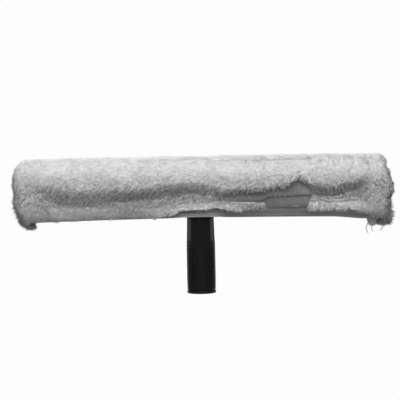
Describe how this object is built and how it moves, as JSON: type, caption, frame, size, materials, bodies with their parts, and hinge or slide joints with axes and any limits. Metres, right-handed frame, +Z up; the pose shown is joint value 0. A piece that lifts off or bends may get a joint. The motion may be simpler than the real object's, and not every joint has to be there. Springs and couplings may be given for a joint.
{
  "type": "window scrubber",
  "caption": "T-shaped window scrubber: a short ribbed handle with a pole socket carries a hollow crossbar in a white plush sleeve closed by a hook-and-loop flap.",
  "frame": {"origin": "centre of the pole socket's mouth, in the foot of the handle", "axes": "+X along the crossbar; +Z up the handle to the crossbar; the closure flap faces -Y"},
  "size_m": [0.4596, 0.0585, 0.1643],
  "materials": {
    "handle": "moulded, semi-matt",
    "grip": "ribbed, matt",
    "bar": "extruded, plain",
    "cap": "moulded",
    "screw": "plain",
    "plush": "cut plush pile",
    "ground_cloth": "plain weave",
    "hem": "woven tape, stitched",
    "loop": "brushed loop tape",
    "hook": "hook tape"
  },
  "bodies": {
    "root": {"handle_body": "handle", "grip_panels": "grip", "crossbar": "bar", "end_cap_left": "cap", "end_cap_right": "cap", "yoke_screws": "screw", "yoke_nuts": "screw", "sleeve_backing": "ground_cloth", "sleeve_pile": "plush", "sleeve_end_left": "plush", "sleeve_end_right": "plush", "hem_front": "hem", "hem_back": "hem", "loop_patch": "loop", "corner_left": "ground_cloth", "corner_right": "ground_cloth"},
    "flap": {"closure_flap": "plush", "flap_lining": "ground_cloth", "hook_patch": "hook"}
  },
  "joints": [
    {"name": "flap_fold", "type": "hinge", "parent": "root", "child": "flap", "pos_m": [0.0755, -0.02646, 0.14941], "axis": [-1, 0, 0], "range_deg": [0, 100]}
  ]
}
